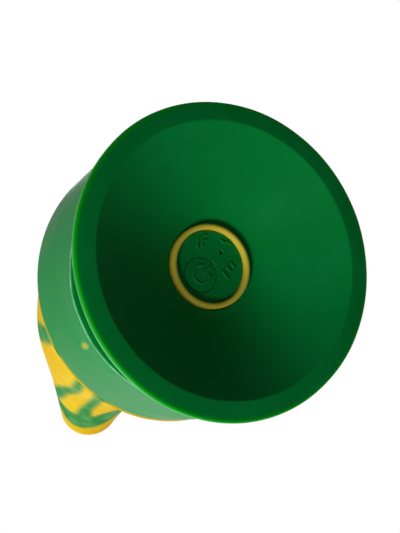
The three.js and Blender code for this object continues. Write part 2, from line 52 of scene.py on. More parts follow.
# ---------- sizes, in millimetres, along the cup's axis and out from it ----------
GAP = 0.3
CUP_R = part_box("suction_cup")[1].x / MM
DRUM_TOP_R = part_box("base_drum")[1].x / MM
DRUM_FLARE = 0.9  # how much narrower the drum's front is than its top
DRUM_R = DRUM_TOP_R - DRUM_FLARE
DRUM_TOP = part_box("base_drum")[1].z / MM
DISC_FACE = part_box("control_disc")[0].z / MM
DISC_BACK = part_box("control_disc")[1].z / MM
BUTTON_LOW, BUTTON_HIGH = (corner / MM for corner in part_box("power_button"))
BUTTON_AT = (BUTTON_LOW + BUTTON_HIGH) / 2
BUTTON_R = (BUTTON_HIGH.x - BUTTON_LOW.x) / 2 + 0.18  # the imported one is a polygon, a little smaller
PORT_LOW, PORT_HIGH = (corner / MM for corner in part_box("charging_socket"))
PORT_AT = (PORT_LOW + PORT_HIGH) / 2
RIM_BAND = 5.8
RIM_LIP = 2.2
CUP_DEPTH = 15.7
CUP_WALL = 3.2
CUP_CURVE = 1.2
BEZEL_R = 12.7
BEZEL_NOSE = 0.87
CORE_BORE = 35.3
BODY_START = DRUM_TOP + GAP
BODY_END = 178.0
BEND = math.radians(48.7)
BEND_EASE = 1.16
TIP_R = 12.7
TIP_LEAN = math.radians(18)
# radius against distance along the bent line, from the drum to where the tip's ball starts
BODY_OUTLINE = [(DRUM_TOP_R, BODY_START), (38.3, 70), (32.2, 104), (19.3, 145)]


# ---------- the camera, in metres: low, looking up into the cup ----------
def aimed(location, target, up):
    """A matrix at location that looks at target, with up pointing up in its view."""
    back = (Vector(location) - Vector(target)).normalized()
    right = Vector(up).cross(back).normalized()
    turn = Matrix((right, back.cross(right), back)).transposed()
    return Matrix.Translation(location) @ turn.to_4x4()


CAMERA_AT = Vector((0.03117, 0.09398, -0.1761))
CAMERA_AHEAD = Vector((-0.14572, -0.42331, 0.89419))
CAMERA_UP = Vector((-0.98395, -0.03209, -0.17554))
LENS = 49.607
SENSOR = 36.0


def make_camera():
    data = bpy.data.cameras.new("camera")
    data.sensor_width = SENSOR
    data.lens = LENS
    data.clip_start, data.clip_end = 0.005, 120.0
    camera = bpy.data.objects.new("camera", data)
    camera.matrix_world = aimed(CAMERA_AT, CAMERA_AT + CAMERA_AHEAD, CAMERA_UP)
    bpy.context.scene.collection.objects.link(camera)
    bpy.context.scene.camera = camera


# ---------- node helpers ----------
class Tree:
    """Short calls for building one node tree."""

    def __init__(self, tree):
        self.tree = tree

    def node(self, kind, **settings):
        made = self.tree.nodes.new(kind)
        for name, value in settings.items():
            setattr(made, name, value)
        return made

    def join(self, source, target):
        self.tree.links.new(source, target)

    def put(self, node, **inputs):
        """Sets a node's inputs by name: a socket is linked, anything else is a value."""
        for name, value in inputs.items():
            key = name.replace("_", " ") if name[0].isupper() else int(name[1:])
            socket = node.inputs[key]
            if isinstance(value, bpy.types.NodeSocket):
                self.join(value, socket)
            else:
                socket.default_value = value
        return node

    def math(self, operation, a, b=0.0, clamp=False):
        made = self.node("ShaderNodeMath", operation=operation, use_clamp=clamp)
        return self.put(made, i0=a, i1=b).outputs[0]

    def mix(self, factor, a, b):
        made = self.node("ShaderNodeMix", data_type="RGBA")
        self.put(made, i0=factor, i6=a, i7=b)
        return made.outputs[2]

    def noise(self, vector, scale, detail=2.0, roughness=0.5):
        made = self.node("ShaderNodeTexNoise")
        self.put(made, Vector=vector, Scale=scale, Detail=detail, Roughness=roughness)
        return made.outputs["Fac"]

    def span(self, value, low, high, to_low=0.0, to_high=1.0):
        made = self.node("ShaderNodeMapRange", interpolation_type="SMOOTHSTEP")
        self.put(made, i0=value, i1=low, i2=high, i3=to_low, i4=to_high)
        return made.outputs[0]

    def place(self):
        return self.node("ShaderNodeTexCoord").outputs["Object"]


def effect_group(name, inputs, outputs, build):
    """A shader node group with float inputs and outputs, and the object's coordinates inside."""
    group = bpy.data.node_groups.new(name, "ShaderNodeTree")
    for label, value in inputs.items():
        socket = group.interface.new_socket(label, in_out="INPUT", socket_type="NodeSocketFloat")
        socket.default_value = value
    for label in outputs:
        group.interface.new_socket(label, in_out="OUTPUT", socket_type="NodeSocketFloat")
    t = Tree(group)
    source, sink = t.node("NodeGroupInput"), t.node("NodeGroupOutput")
    for label, socket in build(t, source.outputs).items():
        t.join(socket, sink.inputs[label])
    return group


def linear(value):
    """One 0 to 255 display value as light, by the sRGB curve."""
    shown = value / 255
    return ((shown + 0.055) / 1.055) ** 2.4 if value > 10 else shown / 12.92


def tone(red, green, blue):
    """A colour given as 0 to 255 display values, as the shader's linear red, green, blue and alpha."""
    return linear(red), linear(green), linear(blue), 1.0


# ---------- effects that several materials share ----------
def build_silicone_grain(t, given):
    place = t.place()
    grain = t.noise(place, given["Grain"], 3.0)
    cloud = t.noise(place, given["Cloud"], 3.0)
    return {"Height": grain, "Cloud": t.span(cloud, 0.35, 0.65)}


def build_moulding(t, given):
    place = t.place()
    pits = t.node("ShaderNodeTexVoronoi")
    t.put(pits, Vector=place, Scale=given["Pits"])
    flow = t.noise(place, given["Flow"], 2.0)
    height = t.math("MULTIPLY", pits.outputs["Distance"], 0.6)
    return {"Height": height, "Flow": t.span(flow, 0.3, 0.7)}


def build_brushing(t, given):
    stretch = t.node("ShaderNodeMapping")
    t.put(stretch, Vector=t.place(), Scale=(0.06, 0.06, 1.0))
    lines = t.noise(stretch.outputs[0], given["Lines"], 4.0, 0.7)
    smudge = t.noise(t.place(), 90.0, 2.0)
    return {"Height": lines, "Lines": t.span(lines, 0.3, 0.7), "Smudge": t.span(smudge, 0.4, 0.7)}


SILICONE_GRAIN = effect_group(
    "silicone_grain", {"Grain": 5200.0, "Cloud": 45.0}, ["Height", "Cloud"], build_silicone_grain
)
MOULDING = effect_group(
    "moulding", {"Pits": 3000.0, "Flow": 70.0}, ["Height", "Flow"], build_moulding
)
BRUSHING = effect_group(
    "brushing", {"Lines": 2500.0}, ["Height", "Lines", "Smudge"], build_brushing
)


def surface(name):
    """A new material: its tree helper and its Principled shader."""
    material = bpy.data.materials.new(name)
    material.use_nodes = True
    t = Tree(material.node_tree)
    return material, t, material.node_tree.nodes["Principled BSDF"]


def effect(t, group, **values):
    made = t.node("ShaderNodeGroup", node_tree=group)
    return t.put(made, **values).outputs


def relief(t, shader, height, strength, distance):
    bump = t.node("ShaderNodeBump")
    t.put(bump, Height=height, Strength=strength, Distance=distance * MM)
    t.join(bump.outputs[0], shader.inputs["Normal"])


def radius_of(t, place):
    """Distance from the cup's axis, in metres."""
    parts = t.node("ShaderNodeSeparateXYZ")
    t.join(place, parts.inputs[0])
    x, y = parts.outputs[0], parts.outputs[1]
    return t.math("SQRT", t.math("ADD", t.math("MULTIPLY", x, x), t.math("MULTIPLY", y, y)))


def distance_to(t, place, spot):
    away = t.node("ShaderNodeVectorMath", operation="DISTANCE")
    t.put(away, i0=place, i1=spot)
    return away.outputs["Value"]


def silicone_finish(t, shader, grain, rough=0.42, shine=0.2):
    """Satin skin: fine grain in the normal, cloudy gloss, a little light under the surface."""
    gloss = t.span(grain["Cloud"], 0.0, 1.0, rough - 0.04, rough + 0.05)
    t.join(gloss, shader.inputs["Roughness"])
    relief(t, shader, grain["Height"], 0.1, 0.05)
    shader.inputs["Specular IOR Level"].default_value = shine
    shader.inputs["IOR"].default_value = 1.3
    shader.inputs["Subsurface Weight"].default_value = 0.1
    shader.inputs["Subsurface Radius"].default_value = (0.6, 1.0, 0.5)
    shader.inputs["Subsurface Scale"].default_value = 2.0 * MM


GREEN_DEEP = tone(0, 148, 62)
GREEN_SOFT = tone(4, 154, 70)
# painted light: a brighter green for light shining through the cup's thin edge
GREEN_EDGE_PAINTED_GLOW = tone(0, 172, 24)
# painted highlight along the cup's edge and the drum's lip
GREEN_PAINTED_HIGHLIGHT = tone(120, 214, 150)
GREEN_VEIN = tone(44, 150, 66)
GREEN_VEIN_PALE = tone(92, 170, 92)
YELLOW = tone(250, 211, 12)
YELLOW_WARM = tone(248, 200, 8)
BLOTCH = tone(176, 184, 40)
BLOTCH_SQUASH = 0.28  # the blotch is this much narrower than it is long, along the drum
BLOTCH_AT = (20.05 * MM, 38.94 * MM, 16.07 * MM * BLOTCH_SQUASH)


def green_silicone(name, glow_edge_at=None, blotch=False, painted_highlight=False, deep=1.0):
    """Green silicone, with painted light where asked: a brighter green near the cup's thin edge,
    painted for light shining through it, and a pale painted highlight along the edge lines that a
    vertex attribute marks.

    deep darkens it, which on the drum is painted shade, and blotch adds the yellow that strayed into
    the drum.
    """
    material, t, shader = surface(name)
    grain = effect(t, SILICONE_GRAIN)
    darker, softer = ((*[v * deep for v in shade_of[:3]], 1.0) for shade_of in (GREEN_DEEP, GREEN_SOFT))
    color = t.mix(grain["Cloud"], darker, softer)
    if glow_edge_at:
        # painted glow, growing towards the thin edge
        edge = t.span(radius_of(t, t.place()), (glow_edge_at - 1.9) * MM, (glow_edge_at - 0.4) * MM)
        color = t.mix(edge, color, GREEN_EDGE_PAINTED_GLOW)
    if painted_highlight:
        # painted highlight along the marked edge line, made patchy
        highlight_mask = t.node("ShaderNodeAttribute", attribute_name="painted_highlight").outputs["Fac"]
        patchy = t.span(t.noise(t.place(), 350.0), 0.3, 0.6, 0.45, 1.0)
        color = t.mix(t.math("MULTIPLY", highlight_mask, patchy), color, GREEN_PAINTED_HIGHLIGHT)
    if blotch:
        ragged = t.math("MULTIPLY", t.noise(t.place(), 700.0), 1.2 * MM)
        flat = t.node("ShaderNodeMapping")
        t.put(flat, Vector=t.place(), Scale=(1, 1, BLOTCH_SQUASH))
        near = t.math("ADD", distance_to(t, flat.outputs[0], BLOTCH_AT), ragged)
        color = t.mix(t.span(near, 2.1 * MM, 1.2 * MM), color, BLOTCH)
    t.join(color, shader.inputs["Base Color"])
    silicone_finish(t, shader, grain)
    return material


def yellow_silicone():
    material, t, shader = surface("yellow_silicone")
    grain = effect(t, SILICONE_GRAIN, Cloud=90.0)
    color = t.mix(grain["Cloud"], tone(255, 232, 84), tone(253, 225, 70))
    t.join(color, shader.inputs["Base Color"])
    silicone_finish(t, shader, grain, 0.38)
    return material


def marbled_silicone():
    """Yellow silicone with green poured through it: the vein attribute says where, the edges blend."""
    material, t, shader = surface("marbled_silicone")
    grain = effect(t, SILICONE_GRAIN)
    place = t.place()
    vein = t.node("ShaderNodeAttribute", attribute_name="vein").outputs["Fac"]
    wisp = t.span(t.noise(place, 420.0, 3.0, 0.6), 0.3, 0.7, -0.05, 0.05)
    mask = t.span(t.math("ADD", vein, wisp), 0.02, 0.98)
    yellow = t.mix(grain["Cloud"], YELLOW, YELLOW_WARM)
    pale = t.span(t.noise(place, 120.0, 2.0), 0.4, 0.65)
    green = t.mix(pale, GREEN_VEIN, GREEN_VEIN_PALE)
    t.join(t.mix(mask, yellow, green), shader.inputs["Base Color"])
    silicone_finish(t, shader, grain, 0.5, shine=0.05)
    return material


def plastic(name, color, pale, rough=0.5, pits=3000.0):
    material, t, shader = surface(name)
    skin = effect(t, MOULDING, Pits=pits)
    t.join(t.mix(skin["Flow"], color, pale), shader.inputs["Base Color"])
    t.join(t.span(skin["Flow"], 0.0, 1.0, rough - 0.06, rough + 0.06), shader.inputs["Roughness"])
    relief(t, shader, skin["Height"], 0.2, 0.04)
    return material


def metal(name, color, dull, rough=0.32, lines=2500.0):
    material, t, shader = surface(name)
    skin = effect(t, BRUSHING, Lines=lines)
    t.join(t.mix(skin["Smudge"], color, dull), shader.inputs["Base Color"])
    t.join(t.span(skin["Lines"], 0.0, 1.0, rough - 0.08, rough + 0.1), shader.inputs["Roughness"])
    shader.inputs["Metallic"].default_value = 1.0
    relief(t, shader, skin["Height"], 0.15, 0.02)
    return material


def board_laminate():
    """Green solder mask over a fine square weave, with copper tracks just showing through."""
    material, t, shader = surface("board_laminate")
    place = t.place()
    weave = t.node("ShaderNodeTexChecker")
    t.put(weave, Vector=place, Scale=2200.0)
    tracks = t.node("ShaderNodeTexBrick", offset=0.5)
    t.put(tracks, Vector=place, Scale=160.0, Mortar_Size=0.03)
    base = t.mix(weave.outputs["Fac"], tone(14, 84, 52), tone(18, 92, 58))
    track = t.span(tracks.outputs["Fac"], 0.2, 0.8, 0.0, 0.6)
    t.join(t.mix(track, base, tone(60, 130, 70)), shader.inputs["Base Color"])
    t.join(t.span(t.noise(place, 300.0), 0.3, 0.7, 0.3, 0.42), shader.inputs["Roughness"])
    relief(t, shader, tracks.outputs["Fac"], 0.3, 0.03)
    return material


def winding_copper():
    """Enamelled wire laid side by side round the rotor's poles."""
    material, t, shader = surface("copper")
    turns = t.node("ShaderNodeTexWave", wave_type="BANDS", bands_direction="DIAGONAL")
    t.put(turns, Vector=t.place(), Scale=900.0, Distortion=0.6)
    band = turns.outputs["Fac"]
    t.join(t.mix(band, tone(120, 52, 24), tone(206, 122, 70)), shader.inputs["Base Color"])
    t.join(t.span(band, 0.0, 1.0, 0.45, 0.25), shader.inputs["Roughness"])
    shader.inputs["Metallic"].default_value = 0.85
    relief(t, shader, band, 0.5, 0.06)
    return material


FINISHES = {
    "green_silicone": green_silicone("green_silicone"),
    "yellow_silicone": yellow_silicone(),
    "white_plastic": plastic("white_plastic", tone(222, 221, 214), tone(232, 231, 226)),
    "natural_nylon": plastic("natural_nylon", tone(224, 218, 198), tone(234, 229, 212), 0.42),
    "black_plastic": plastic("black_plastic", tone(26, 27, 29), tone(36, 37, 40), 0.48),
    "black_rubber": plastic("black_rubber", tone(20, 20, 21), tone(32, 31, 30), 0.75, 1800.0),
    "led_resin": plastic("led_resin", tone(226, 230, 220), tone(240, 242, 236), 0.16, 900.0),
    "steel": metal("steel", tone(196, 199, 203), tone(166, 168, 172)),
    "board_laminate": board_laminate(),
    "cell_sleeve": plastic("cell_sleeve", tone(34, 82, 160), tone(42, 94, 176), 0.3, 700.0),
    "red_wire": plastic("red_wire", tone(168, 18, 20), tone(186, 30, 28), 0.4, 1500.0),
    "black_wire": plastic("black_wire", tone(22, 22, 24), tone(34, 34, 36), 0.4, 1500.0),
    "bronze": metal("bronze", tone(186, 146, 82), tone(150, 112, 60), 0.4, 1200.0),
    "copper": winding_copper(),
    "ferrite": plastic("ferrite", tone(52, 53, 56), tone(66, 66, 68), 0.6, 1400.0),
    "dense_metal": metal("dense_metal", tone(150, 152, 156), tone(120, 121, 124), 0.38, 1600.0),
}


def finish_frame_nodes():
    """Gives every carried-over node the finish of its slot."""
    for row in frame["record"]["subparts"]:
        node = NODES[row["node"]]
        node.data.materials.clear()
        node.data.materials.append(FINISHES[row["material_slot"]])


# ---------- mesh helpers ----------
def arc(centre_r, centre_z, radius, start, end, steps):
    """Points on a quarter or so of a circle in the turning plane, angles in degrees."""
    turns = [math.radians(start + (end - start) * i / steps) for i in range(steps + 1)]
    return [(centre_r + radius * math.cos(a), centre_z + radius * math.sin(a)) for a in turns]


def softened(corners, steps=5):
    """An outline whose corners, given as (radius, height, rounding), become arcs."""
    out = []
    for i, (r, z, rounding) in enumerate(corners):
        here = Vector((r, z))
        before = Vector(corners[i - 1][:2]) - here
        after = Vector(corners[(i + 1) % len(corners)][:2]) - here
        if rounding <= 0 or before.length == 0 or after.length == 0:
            out.append((r, z))
            continue
        half = before.angle(after) / 2
        reach = min(rounding / math.tan(half), before.length * 0.49, after.length * 0.49)
        start, end = here + before.normalized() * reach, here + after.normalized() * reach
        for k in range(steps + 1):
            w = k / steps
            curve = start * (1 - w) ** 2 + here * (2 * w * (1 - w)) + end * w**2
            out.append((curve.x, curve.y))
    return out


def clean(bm, merge=1e-7):
    bmesh.ops.remove_doubles(bm, verts=bm.verts, dist=merge)
    bmesh.ops.dissolve_degenerate(bm, edges=bm.edges, dist=merge)
    bmesh.ops.recalc_face_normals(bm, faces=bm.faces)


def shade(bm, sharp=math.radians(34)):
    for face in bm.faces:
        face.smooth = True
    for edge in bm.edges:
        edge.smooth = len(edge.link_faces) == 2 and edge.calc_face_angle(0) < sharp


def piece(name, bm, material, body, slot, *replaced):
    """Turns a bmesh into a piece that rides on a body."""
    shade(bm)
    mesh = bpy.data.meshes.new(name)
    bm.to_mesh(mesh)
    bm.free()
    mesh.materials.append(material)
    made = bpy.data.objects.new(name, mesh)
    bpy.context.scene.collection.objects.link(made)
    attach(made, body)
    if replaced:
        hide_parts(*replaced)
    return made


def spun(outline, steps, centre=(0.0, 0.0)):
    """A bmesh turned about Z from (radius, height) points in millimetres."""
    bm = bmesh.new()
    verts = [bm.verts.new((max(r, 0.0) * MM, 0.0, z * MM)) for r, z in outline]
    edges = [bm.edges.new(pair) for pair in zip(verts, verts[1:])]
    on_axis = outline[0][0] <= 0 and outline[-1][0] <= 0
    if not on_axis:
        edges.append(bm.edges.new((verts[-1], verts[0])))
    bmesh.ops.spin(
        bm, geom=verts + edges, cent=(0, 0, 0), axis=(0, 0, 1),
        angle=2 * math.pi, steps=steps, use_merge=True,
    )
    clean(bm)
    bmesh.ops.translate(bm, verts=bm.verts, vec=(centre[0] * MM, centre[1] * MM, 0))
    return bm


def paint(made, name, values):
    """Stores one number per vertex for a material to read."""
    layer = made.data.attributes.new(name, "FLOAT", "POINT")
    layer.data.foreach_set("value", np.asarray(values, dtype=np.float32))


def near_highlight_line(made, line_r, line_z, reach):
    """How close each vertex is to a line round the axis, from 0 to 1, stored for a painted highlight.
    """
    values = []
    for vert in made.data.vertices:
        turn = math.atan2(vert.co.y, vert.co.x)
        away = math.hypot(vert.co.xy.length / MM - line_r, vert.co.z / MM - line_z(turn))
        values.append(max(0.0, 1 - away / reach))
    paint(made, "painted_highlight", values)


def blend(low, high, value):
    """How far value has come from low to high, from 0 to 1, smoothly."""
    w = min(max((value - low) / (high - low), 0.0), 1.0)
    return w * w * (3 - 2 * w)


# ---------- cup and drum ----------
HUB_HOLE = BEZEL_R + GAP
BAND_INNER = CUP_R - RIM_BAND


def cup_face(r):
    """The height of the dish's surface at a radius."""
    out = min(max((r - HUB_HOLE) / (BAND_INNER - HUB_HOLE), 0.0), 1.0)
    return CUP_DEPTH * (1 - out**CUP_CURVE)


def cup_back(r):
    """The height of the cup's back at a radius: it thins towards the edge."""
    band = max(r - BAND_INNER, 0.0) / RIM_BAND
    return cup_face(r) + CUP_WALL - (CUP_WALL - RIM_LIP) * band


def swept(start, end, steps, height):
    """Outline points from one radius to another, at the heights that a function gives."""
    radii = [start + (end - start) * i / steps for i in range(steps + 1)]
    return [(r, height(r), 0) for r in radii]


# how the cup's thin edge wanders in and out: size in millimetres, waves in a turn, where they start
EDGE_WAVES = [(0.06, 3, 0.6), (0.03, 7, 2.0), (0.02, 13, 0.0)]


def suction_cup():
    """The cup, with a soft step from its dish to the sealing band and a slightly uneven thin edge."""
    floor_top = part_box("core_lower_shell")[0].z / MM
    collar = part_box("core_lower_shell")[1].x / MM - 4.0
    outline = softened([
        (HUB_HOLE, CUP_DEPTH, 0.5),
        *swept(HUB_HOLE + 1.0, BAND_INNER - 0.9, 30, cup_face),
        (BAND_INNER, 0.0, 0.9),
        (CUP_R, 0.0, 0.9),
        (CUP_R, RIM_LIP, 0.5),
        *swept(CUP_R - 0.8, collar + 0.2, 8, cup_back),
        (collar, cup_back(collar), 0),
        (collar, floor_top, 0.2),
        (collar + 1.4, floor_top, 0.5),
        (collar + 1.4, floor_top + 2.5, 0.6),
        (collar - 3.5, floor_top + 2.5, 0.4),
        *swept(collar - 3.5, HUB_HOLE + 0.6, 10, cup_back),
        (HUB_HOLE, cup_back(HUB_HOLE), 0.4),
    ])
    bm = spun(outline, 176)
    for vert in bm.verts:
        r = vert.co.xy.length / MM
        turn = math.atan2(vert.co.y, vert.co.x)
        loose = blend(CUP_R - 3.0, CUP_R, r)
        wave = sum(size * math.sin(count * turn + start) for size, count, start in EDGE_WAVES)
        vert.co.xy *= 1 + loose * (wave - 0.1) / CUP_R
        lift = 0.12 * (1 + math.sin(4 * turn + 1.1)) * min(vert.co.z / MM, 1.0)
        vert.co.z += loose * lift * MM
    # painted light on the cup: a brighter green near its thin edge, and a painted highlight line along
    # it
    finish = green_silicone("cup_silicone", glow_edge_at=CUP_R, painted_highlight=True)
    made = piece("cup", bm, finish, "housing", "green_silicone", "suction_cup")
    # the painted highlight follows a wavy line round the cup's outer edge
    near_highlight_line(made, CUP_R, lambda turn: 1.5 + 0.3 * math.sin(5 * turn), 0.7)


CREVICE_IN = 7.0  # how deep the crevice between cup and drum runs
CREVICE_OPEN = 3.8  # how much wider it gapes along one side
LIP_BULGE = 0.9  # how far the drum's lip stands out there
GAPE_FROM, GAPE_TO = (24, 68), (76, 108)  # where round the drum the gape grows and shrinks, in degrees
LIP_FADE = 16.0  # how far up the drum the lip's shift dies out
# the drum's lip, as steps out from its radius and up from its foot
LIP_SECTION = [(-0.35, -0.2), (-0.1, 0.0), (0.0, 0.35), (0.02, 0.9)]


def base_drum():
    """The drum: its front lip stands off the cup, and further off along one side."""
    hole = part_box("core_lower_shell")[1].x / MM - 3.7
    inner_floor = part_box("core_lower_shell")[0].z / MM - GAP
    lip_z = cup_back(DRUM_R - 1.2) + 2.2
    outline = softened([
        (CORE_BORE, DRUM_TOP, 0),
        (CORE_BORE, inner_floor, 0.3),
        (hole, inner_floor, 0.4),
        (hole, cup_back(hole) + GAP, 0.3),
        *swept(hole + 0.5, DRUM_R - CREVICE_IN, 6, lambda r: cup_back(r) + GAP),
        *swept(DRUM_R - CREVICE_IN + 1, DRUM_R - 0.9, 5, lambda r: lip_z - 0.25 - (DRUM_R - r) * 0.1),
        *[(DRUM_R + out, lip_z + up, 0) for out, up in LIP_SECTION],
        *[(DRUM_R + DRUM_FLARE * k / 10, lip_z + (DRUM_TOP - lip_z) * k / 10, 0) for k in range(1, 10)],
        (DRUM_TOP_R, DRUM_TOP, 0.8),
    ])
    bm = spun(outline, 184)
    bm.verts.index_update()
    lip = []
    for vert in bm.verts:
        r, z = vert.co.xy.length / MM, vert.co.z / MM
        turn = math.degrees(math.atan2(vert.co.y, vert.co.x))
        side = blend(*GAPE_FROM, turn) * (1 - blend(*GAPE_TO, turn))
        near_lip = blend(DRUM_R - CREVICE_IN, DRUM_R - 2, r)
        near_lip *= 1 - blend(lip_z, lip_z + LIP_FADE, z)
        uneven = 0.12 * math.sin(math.radians(turn) * 9) + 0.07 * math.sin(math.radians(turn) * 23 + 1)
        vert.co.z += near_lip * (CREVICE_OPEN * side + uneven) * MM
        vert.co.xy *= 1 + near_lip * side * LIP_BULGE / DRUM_R
        # vertices along the lip's edge, which get a painted highlight
        if DRUM_R - 0.2 < r and abs(z - lip_z - 0.15) < 0.3:
            lip.append(vert.index)
    # painted shade: the drum's copy of the green is a little darker than the cup's
    finish = green_silicone("drum_silicone", blotch=True, painted_highlight=True, deep=0.95)
    made = piece("drum", bm, finish, "housing", "green_silicone", "base_drum")
    # the painted highlight along the drum's lip
    highlight_mask = np.zeros(len(made.data.vertices))
    highlight_mask[lip] = 1.0
    paint(made, "painted_highlight", highlight_mask)


# ---------- the body ----------
LINE = np.linspace(0.0, BODY_END, 1200)
LINE_LEAN = BEND * (np.clip(LINE - BODY_START, 0, None) / (BODY_END - BODY_START)) ** BEND_EASE


def running(rate):
    """The running total of a rate along the line."""
    steps = (rate[1:] + rate[:-1]) / 2 * np.diff(LINE)
    return np.concatenate([[0.0], np.cumsum(steps)])


LINE_X, LINE_Z = running(np.sin(LINE_LEAN)), running(np.cos(LINE_LEAN))


def onto_line(points):
    """Bends points whose third value is the distance along the body's line."""
    s = points[:, 2]
    lean = np.interp(s, LINE, LINE_LEAN)
    x = np.interp(s, LINE, LINE_X) + points[:, 0] * np.cos(lean)
    z = np.interp(s, LINE, LINE_Z) - points[:, 0] * np.sin(lean)
    return np.stack([x, points[:, 1], z], axis=1)


def curve_through(knots, steps):
    """Points on a smooth curve that passes through every knot."""
    knots = [np.array(k, float) for k in knots]
    out = []
    for i in range(len(knots) - 1):
        a, b = knots[max(i - 1, 0)], knots[i]
        c, d = knots[i + 1], knots[min(i + 2, len(knots) - 1)]
        slope, bow, twist = c - a, 2 * a - 5 * b + 4 * c - d, 3 * (b - c) + d - a
        for k in range(steps):
            w = k / steps
            out.append(b + slope * (w / 2) + bow * (w**2 / 2) + twist * (w**3 / 2))
    return out + [knots[-1]]


def body_side():
    """The body's outline before it is bent, from its foot to the end of the tip's ball."""
    ball = arc(0.0, BODY_END - TIP_R, TIP_R, math.degrees(TIP_LEAN), 90, 22)
    side = curve_through([*BODY_OUTLINE, ball[0]], 38)
    return [tuple(p) for p in side[:-1]] + ball


# Where green runs through the yellow: (degrees round from the leaning side, distance along the body,
# half width), in millimetres.
VEINS = [
    [
        (-70, 146, 4), (-28, 142, 5.5), (-9, 148.5, 6.3), (0, 154.5, 5.6), (16, 156.5, 7),
        (36, 158.8, 6.6), (52, 159.6, 5.5), (66, 157, 5), (110, 156, 4), (150, 160, 3.5),
        (200, 163, 4.5), (250, 157, 3.5), (290, 146, 4),
    ],
    [(28, 150, 3.6), (27, 141, 2.7), (25, 126, 2.4), (27, 98, 2.5), (34, 61, 2.6), (38, 47, 2.8)],
    [(84, 150, 3.4), (68, 142, 3.2), (56, 131, 2.8), (44, 113, 2.4), (42, 82, 2.3), (45, 50, 2.5)],
    [
        (120, 112, 4), (98, 106, 4.3), (86, 96, 4.3), (78, 84, 4), (71, 68, 3), (66, 52, 2.4),
        (64, 46, 2),
    ],
]
VEIN_WANDER = 0.6  # how far a laid vein strays
VEIN_SOFTNESS = 5.0  # how wide the blend at its edge is
LAID_FROM, LAID_TO = (-30, 5), (94, 122)  # where the laid veins take over and give way, in degrees
PLAIN_TIP = (150, 163)  # where along the line the free pour dies out


def drift(spot):
    """A smooth vector noise from three calls of the plain noise, so that every run draws the same."""
    shifts = (Vector((step, -step, 0.5 * step)) for step in (0.0, 17.3, 41.9))
    return Vector([noise.noise(spot + shift) for shift in shifts])


def laid_veins(surface_points):
    """How green each surface point is beside the laid veins, from 0 to 1."""
    side = np.array(body_side())
    wander = np.array([drift(Vector(p) / 22.0) for p in surface_points]) * VEIN_WANDER
    points = surface_points + wander
    closest = np.full(len(points), 1e9)
    for knots in VEINS:
        for degrees, s, width in curve_through(knots, 14):
            turn, radius = math.radians(degrees), np.interp(s, side[:, 1], side[:, 0])
            unbent = np.array([[radius * math.cos(turn), radius * math.sin(turn), s]])
            spot = onto_line(unbent)[0]
            closest = np.minimum(closest, np.linalg.norm(points - spot, axis=1) - width)
    soft = np.clip((2.4 - closest) / VEIN_SOFTNESS, 0.0, 1.0)
    return soft * soft * (3 - 2 * soft)


def poured_streaks(turn, s):
    """How green a point is in the free pour: long swirled streaks that thin out, fork and pool."""
    spot = Vector((1.5 * math.cos(turn), 1.5 * math.sin(turn), s / 46.0)) + Vector((3.1, 0.4, 7.7))
    spot += 0.55 * drift(spot * 1.15) + 0.16 * drift(spot * 3.4)
    streak = abs(noise.noise(spot * 1.45))
    width = 0.1 + 0.12 * noise.noise(spot * 0.9 + Vector((5, 5, 5)))
    pool = noise.noise(spot * 1.1 + Vector((9, 2, 4))) - 0.42
    return max(blend(-0.035, 0.05, width - streak), blend(-0.05, 0.06, pool))


def vein_mask(unbent, surface_points):
    """The laid veins on one side, the free pour round the rest, and plain yellow at the tip."""
    laid = laid_veins(surface_points)
    mask = []
    for (x, y, s), near in zip(unbent, laid):
        turn = math.atan2(y, x)
        angle = math.degrees(turn)
        laid_side = blend(*LAID_FROM, angle) * (1 - blend(*LAID_TO, angle))
        pour = poured_streaks(turn, s) * (1 - laid_side) * (1 - blend(*PLAIN_TIP, s))
        mask.append(max(near, pour))
    return mask


FOOT_INSET = 0.4  # how much narrower than the drum the body's foot is
FOOT_OFFSET = 0.8  # how far it is shifted to one side,
FOOT_WAY = math.radians(5)  # and which way
MOTOR_POCKET = (111.0, 155.0)  # where the motor's capsule sits along the line
POCKET_R = 11.8
SPINE_R = 4.8
ANCHOR_R = 9.4


def body():
    """The bent body, hollow where the core, the spine and the motor's capsule sit."""
    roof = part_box("spine_anchor")[0].z / MM
    anchor_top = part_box("spine_anchor")[1].z / MM + GAP
    low, high = MOTOR_POCKET
    hollow = [
        (0.0, high), (POCKET_R, high), (POCKET_R, low), (SPINE_R, low),
        *[(SPINE_R, s) for s in np.linspace(low - 4, anchor_top + 4, 12)],
        (SPINE_R, anchor_top), (ANCHOR_R, anchor_top), (ANCHOR_R, roof),
        (CORE_BORE, roof), (CORE_BORE, BODY_START + 0.01),
    ]
    side = body_side()
    foot_r = side[0][0]
    foot = [(foot_r, BODY_START + 0.5), (foot_r - 0.5, BODY_START)]
    outline = [(0.0, BODY_END), *side[-2:0:-1], *foot, *hollow[::-1]]
    bm = spun(outline, 224)
    points = np.array([v.co for v in bm.verts]) / MM
    bent = onto_line(points)
    outside = np.hypot(points[:, 0], points[:, 1]) > CORE_BORE + 1
    near_foot = outside * np.clip((62 - points[:, 2]) / 14, 0, 1)
    bent[:, :2] *= 1 - near_foot[:, None] * FOOT_INSET / DRUM_TOP_R
    bent[:, 0] += FOOT_OFFSET * near_foot * math.cos(FOOT_WAY)
    bent[:, 1] += FOOT_OFFSET * near_foot * math.sin(FOOT_WAY)
    for vert, spot in zip(bm.verts, bent):
        vert.co = Vector(spot) * MM
    made = piece("body", bm, marbled_silicone(), "housing", "yellow_silicone", "body_sleeve")
    spots = np.empty(len(made.data.vertices) * 3)
    made.data.vertices.foreach_get("co", spots)
    paint(made, "vein", vein_mask(points, spots.reshape(-1, 3) / MM))


